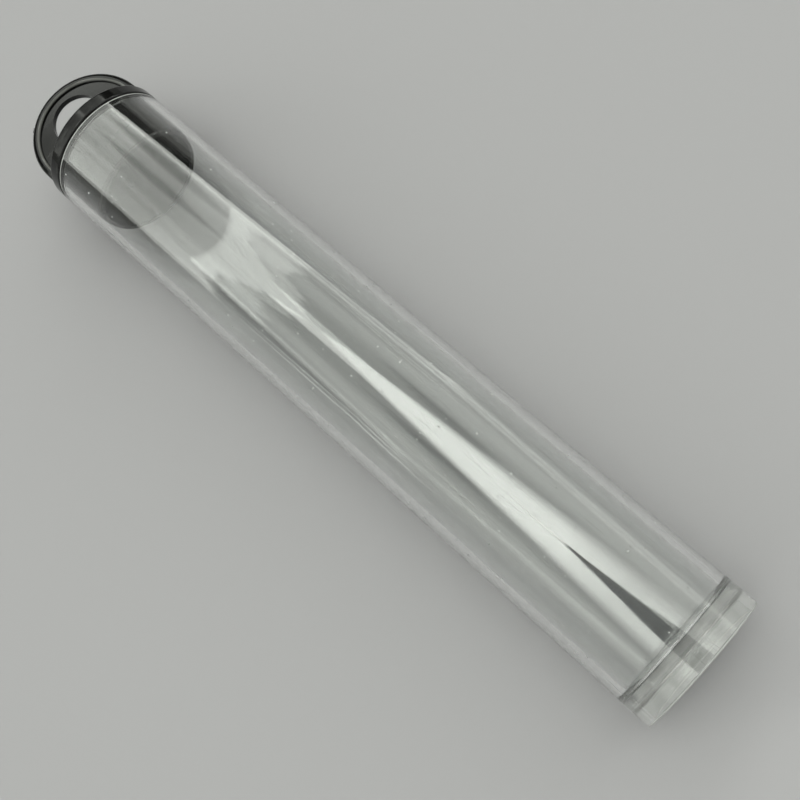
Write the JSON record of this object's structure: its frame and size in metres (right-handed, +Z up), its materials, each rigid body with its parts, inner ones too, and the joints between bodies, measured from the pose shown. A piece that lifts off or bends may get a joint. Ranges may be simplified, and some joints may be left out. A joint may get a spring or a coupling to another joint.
{
  "type": "dice tube",
  "caption": "Clear round storage tube for a stacked set of dice, with a closed footed end and a push-in black cap that carries a flat hang loop.",
  "frame": {"origin": "under the middle of the whole length, on the surface that the tube lies on", "axes": "+X along the tube's axis from the hang cap to the foot, +Z up and square to the flat hang loop, +Y across"},
  "size_m": [0.1585, 0.0254, 0.0254],
  "materials": {
    "clear_plastic": "clear moulded polystyrene, glossy, lightly scuffed",
    "black_plastic": "black moulded polyethylene, satin gloss"
  },
  "bodies": {
    "tube": {"clear_tube": "clear_plastic"},
    "cap": {"hang_cap": "black_plastic"}
  },
  "joints": [
    {"name": "cap_pull", "type": "slide", "parent": "tube", "child": "cap", "axis": [-1, 0, 0], "range_m": [0, 0.045]}
  ]
}
